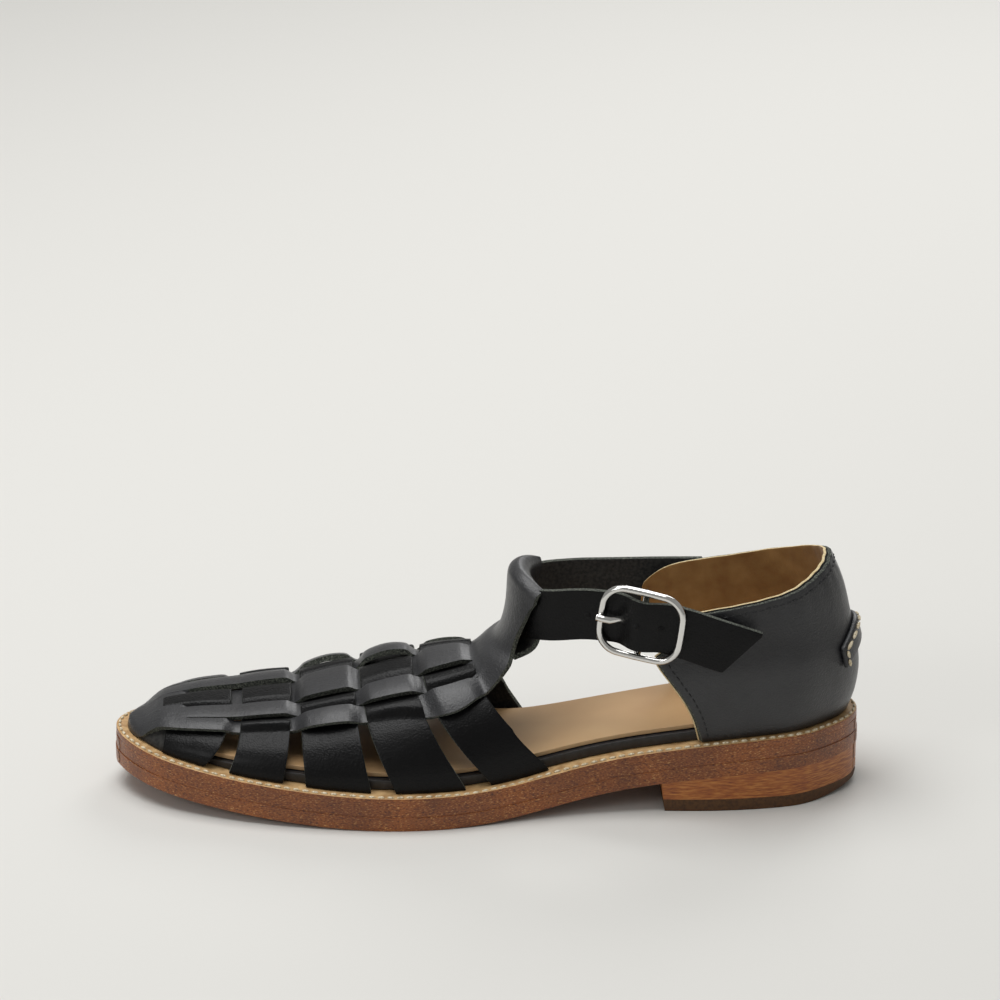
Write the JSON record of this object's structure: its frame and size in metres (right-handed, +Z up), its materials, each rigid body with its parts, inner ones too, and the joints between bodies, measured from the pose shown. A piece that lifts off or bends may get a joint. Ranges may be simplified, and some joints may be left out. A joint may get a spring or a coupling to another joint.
{
  "type": "fisherman sandal",
  "caption": "Black woven leather fisherman sandal with T-bar, buckled ankle strap, closed heel and low stacked brown sole, left shoe.",
  "frame": {"origin": "bottom centre of the shoe's box, on the floor", "axes": "-X towards the toe, +X towards the heel, -Y the outer side of the left foot, +Z up"},
  "size_m": [0.2706, 0.0898, 0.0885],
  "materials": {
    "black_leather": "smooth full grain with a soft shine, cut edges raw and fibrous",
    "sole_leather": "burnished speckled brown leather edge",
    "welt_leather": "pale tan leather, satin",
    "tan_leather": "natural tan sock leather, satin",
    "khaki_rubber": "matte khaki rubber",
    "bright_nickel": "polished nickel plate"
  },
  "bodies": {
    "root": {"outsole": "sole_leather", "midsole": "sole_leather", "welt": "welt_leather", "heel_lift_1": "sole_leather", "heel_lift_2": "sole_leather", "top_lift": "khaki_rubber", "footbed": "black_leather", "insole": "tan_leather", "vamp": "black_leather", "quarter": "black_leather", "heel_tab": "black_leather", "ankle_strap": "black_leather", "buckle_frame": "bright_nickel", "buckle_prong": "bright_nickel", "buckle_tab": "black_leather"}
  },
  "joints": []
}
